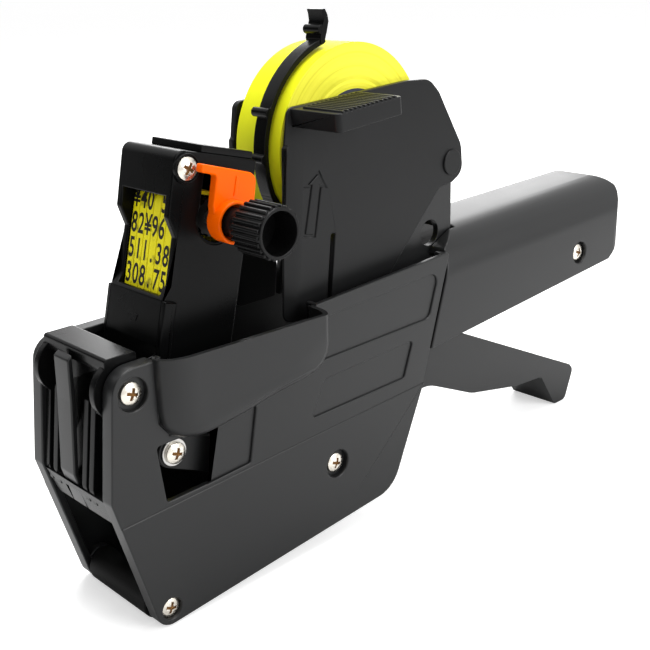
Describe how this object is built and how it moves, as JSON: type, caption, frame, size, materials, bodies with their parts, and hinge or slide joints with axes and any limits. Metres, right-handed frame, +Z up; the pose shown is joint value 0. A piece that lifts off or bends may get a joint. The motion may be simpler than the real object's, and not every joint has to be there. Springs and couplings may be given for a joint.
{
  "type": "price labeler",
  "caption": "Hand-held price labeler with a squeeze lever, swinging print head, knob band selector, label roll holder and applicator nose.",
  "frame": {"origin": "on the table below the middle of the box over the whole labeler as it stands on its applicator roller and lever hook", "axes": "+X from the applicator nose toward the handle tip, +Y from the knob side toward the far side plate, +Z up"},
  "size_m": [0.2598, 0.0625, 0.1744],
  "materials": {
    "black_plastic": "satin moulded charcoal plastic",
    "inner_plastic": "matt moulded dark grey plastic",
    "nickel": "nickel plated",
    "steel": "drawn steel",
    "orange_plastic": "glossy moulded",
    "label_paper": "bright self-adhesive label paper",
    "band_rubber": "smooth moulded rubber",
    "roller_rubber": "ground rubber",
    "ink_felt": "inked felt",
    "core_card": "wound card"
  },
  "bodies": {
    "frame": {"side_plate_near": "black_plastic", "side_plate_far": "black_plastic", "handle": "black_plastic", "handle_spacer": "inner_plastic", "handle_screws": "nickel", "inner_frame_near": "black_plastic", "inner_frame_far": "black_plastic", "frame_rods": "steel", "nose_axle": "steel", "front_axle": "steel", "main_axle": "steel", "return_spring": "steel", "platen": "steel", "side_screws_near": "nickel", "side_screws_far": "nickel", "holder_pins": "steel", "feed_axle": "steel", "bottom_pin": "steel"},
    "squeeze_lever": {"squeeze_lever": "black_plastic", "yoke_arm_near": "inner_plastic", "yoke_arm_far": "inner_plastic", "yoke_pin": "steel"},
    "print_head": {"head_housing": "black_plastic", "head_top_plate": "inner_plastic", "head_screws": "nickel", "stud_screws": "nickel", "stud_bushes": "nickel", "print_bands": "band_rubber", "band_guide": "steel", "print_anvil": "inner_plastic"},
    "selector": {"pointer": "orange_plastic", "selector_shaft": "steel"},
    "selector_knob": {"selector_knob": "black_plastic"},
    "band_wheel_1": {"selector_wheel_1": "inner_plastic"},
    "band_wheel_2": {"selector_wheel_2": "inner_plastic"},
    "band_wheel_3": {"selector_wheel_3": "inner_plastic"},
    "band_wheel_4": {"selector_wheel_4": "inner_plastic"},
    "band_wheel_5": {"selector_wheel_5": "inner_plastic"},
    "band_wheel_6": {"selector_wheel_6": "inner_plastic"},
    "roll_holder": {"holder_wall_near": "black_plastic", "holder_wall_far": "black_plastic", "holder_web": "black_plastic", "roll_hub_near": "inner_plastic", "roll_hub_far": "inner_plastic", "roll_stay_pin": "steel"},
    "label_roll": {"label_roll": "label_paper", "roll_core": "core_card"},
    "roll_stay": {"roll_stay": "black_plastic"},
    "applicator_roller": {"applicator_roller": "roller_rubber"},
    "front_cover": {"front_cover": "black_plastic", "front_tongue": "black_plastic"},
    "ink_arm": {"ink_arms": "inner_plastic"},
    "ink_roller": {"ink_roller_core": "steel", "ink_roller_felt": "ink_felt"},
    "bottom_cover": {"bottom_cover": "black_plastic"},
    "bottom_latch": {"bottom_latch": "inner_plastic"},
    "feed_wheel": {"feed_wheel": "inner_plastic"},
    "feed_pawl": {"feed_pawl": "inner_plastic"}
  },
  "joints": [
    {"name": "lever_squeeze", "type": "hinge", "parent": "frame", "child": "squeeze_lever", "pos_m": [-0.04293, 0.00925, 0.0282], "axis": [0, -1, 0], "range_deg": [0, 19], "stiffness_Nm_per_rad": 2, "springref_deg": -17.19},
    {"name": "head_swing", "type": "hinge", "parent": "squeeze_lever", "child": "print_head", "pos_m": [-0.1047, 0.00925, 0.05319], "axis": [0, -1, 0], "range_deg": [-19, 0]},
    {"name": "selector_pull", "type": "slide", "parent": "print_head", "child": "selector", "axis": [0, -1, 0], "range_m": [0, 0.01725]},
    {"name": "knob_turn", "type": "hinge", "parent": "selector", "child": "selector_knob", "pos_m": [-0.08024, 0.00925, 0.1185], "axis": [0, 1, 0], "continuous": true},
    {"name": "band_wheel_1_turn", "type": "hinge", "parent": "print_head", "child": "band_wheel_1", "pos_m": [-0.08024, 0.00925, 0.1185], "axis": [0, 1, 0], "continuous": true},
    {"name": "band_wheel_2_turn", "type": "hinge", "parent": "print_head", "child": "band_wheel_2", "pos_m": [-0.08024, 0.00925, 0.1185], "axis": [0, 1, 0], "continuous": true},
    {"name": "band_wheel_3_turn", "type": "hinge", "parent": "print_head", "child": "band_wheel_3", "pos_m": [-0.08024, 0.00925, 0.1185], "axis": [0, 1, 0], "continuous": true},
    {"name": "band_wheel_4_turn", "type": "hinge", "parent": "print_head", "child": "band_wheel_4", "pos_m": [-0.08024, 0.00925, 0.1185], "axis": [0, 1, 0], "continuous": true},
    {"name": "band_wheel_5_turn", "type": "hinge", "parent": "print_head", "child": "band_wheel_5", "pos_m": [-0.08024, 0.00925, 0.1185], "axis": [0, 1, 0], "continuous": true},
    {"name": "band_wheel_6_turn", "type": "hinge", "parent": "print_head", "child": "band_wheel_6", "pos_m": [-0.08024, 0.00925, 0.1185], "axis": [0, 1, 0], "continuous": true},
    {"name": "holder_open", "type": "hinge", "parent": "frame", "child": "roll_holder", "pos_m": [0.02427, 0.00925, 0.1195], "axis": [0, 1, 0], "range_deg": [0, 60]},
    {"name": "roll_turn", "type": "hinge", "parent": "roll_holder", "child": "label_roll", "pos_m": [-0.02074, 0.00925, 0.13149], "axis": [0, 1, 0], "continuous": true},
    {"name": "stay_swing", "type": "hinge", "parent": "roll_holder", "child": "roll_stay", "pos_m": [-0.04467, 0.00925, 0.1035], "axis": [0, -1, 0], "range_deg": [0, 12]},
    {"name": "applicator_turn", "type": "hinge", "parent": "frame", "child": "applicator_roller", "pos_m": [-0.11325, 0.00925, 0.0058], "axis": [0, 1, 0], "continuous": true},
    {"name": "front_cover_open", "type": "hinge", "parent": "frame", "child": "front_cover", "pos_m": [-0.11963, 0.00925, 0.07767], "axis": [0, 1, 0], "range_deg": [0, 80]},
    {"name": "ink_swing", "type": "hinge", "parent": "frame", "child": "ink_arm", "pos_m": [-0.11963, 0.00925, 0.07767], "axis": [0, 1, 0], "range_deg": [0, 7.6]},
    {"name": "ink_roller_turn", "type": "hinge", "parent": "ink_arm", "child": "ink_roller", "pos_m": [-0.11492, 0.00925, 0.04806], "axis": [0, 1, 0], "continuous": true},
    {"name": "bottom_cover_open", "type": "hinge", "parent": "frame", "child": "bottom_cover", "pos_m": [-0.02669, 0.00925, 0.01242], "axis": [0, -1, 0], "range_deg": [0, 60]},
    {"name": "latch_pull", "type": "slide", "parent": "bottom_cover", "child": "bottom_latch", "axis": [0.9964, 0, 0.0853], "range_m": [0, 0.004]},
    {"name": "feed_turn", "type": "hinge", "parent": "frame", "child": "feed_wheel", "pos_m": [-0.07468, 0.00925, 0.01395], "axis": [0, 1, 0], "continuous": true},
    {"name": "pawl_swing", "type": "hinge", "parent": "frame", "child": "feed_pawl", "pos_m": [-0.05873, 0.00925, 0.0108], "axis": [0, 1, 0], "range_deg": [0, 15], "stiffness_Nm_per_rad": 0.01, "springref_deg": -11.46}
  ],
  "couplings": [
    {"joint": "head_swing", "follows": "lever_squeeze", "ratio": -1},
    {"joint": "ink_swing", "follows": "lever_squeeze", "ratio": 0.4}
  ]
}
